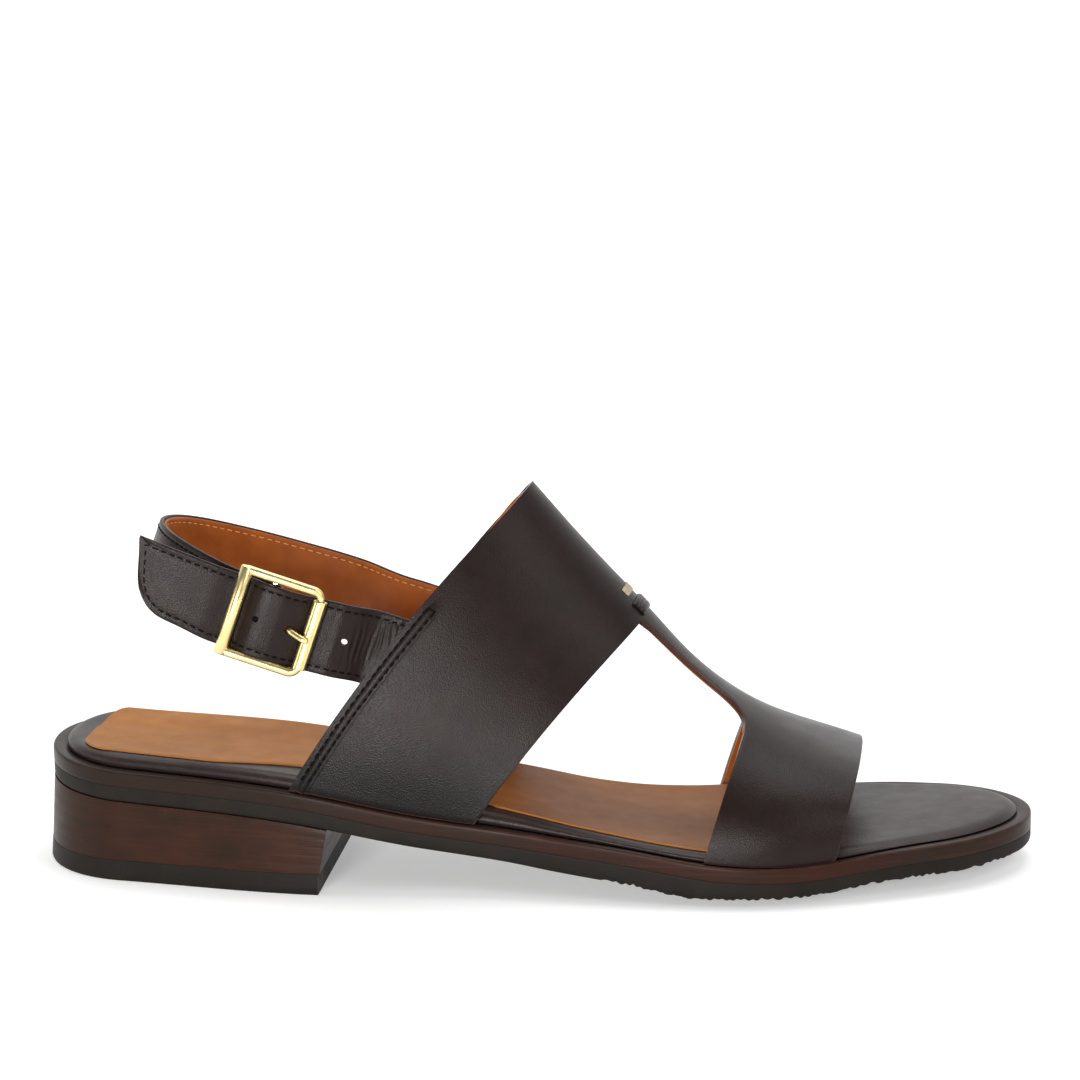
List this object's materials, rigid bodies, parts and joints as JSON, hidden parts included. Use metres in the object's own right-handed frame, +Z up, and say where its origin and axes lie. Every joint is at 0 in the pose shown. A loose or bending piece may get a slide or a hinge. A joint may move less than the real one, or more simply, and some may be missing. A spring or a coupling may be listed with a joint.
{
  "type": "slingback sandal",
  "caption": "Open-toe leather slingback sandal, right shoe: T-strap upper, buckled strap round the heel, padded footbed, rubber outsole and low stacked heel.",
  "frame": {"origin": "middle of the shoe's bounding box at ground level", "axes": "+X to the toe, +Y to the inner side of the foot, +Z up; the buckle is on the -Y side"},
  "size_m": [0.263, 0.0877, 0.1019],
  "materials": {
    "upper_leather": "smooth dark brown, half gloss",
    "sock_leather": "natural tan, matt",
    "edge_brown": "edge-stained red brown, half gloss",
    "stack_brown": "stained stacked layers, waxed",
    "sole_rubber": "matt dark grey",
    "buckle_gold": "polished pale gold"
  },
  "bodies": {
    "root": {"top_piece": "sole_rubber", "heel_block": "stack_brown", "outsole": "sole_rubber", "midsole": "edge_brown", "footbed": "upper_leather", "sock_lining": "sock_leather", "upper": "upper_leather", "sling_strap": "upper_leather", "buckle_strap": "upper_leather", "buckle_frame": "buckle_gold", "buckle_roller": "buckle_gold", "buckle_prong": "buckle_gold"}
  },
  "joints": []
}
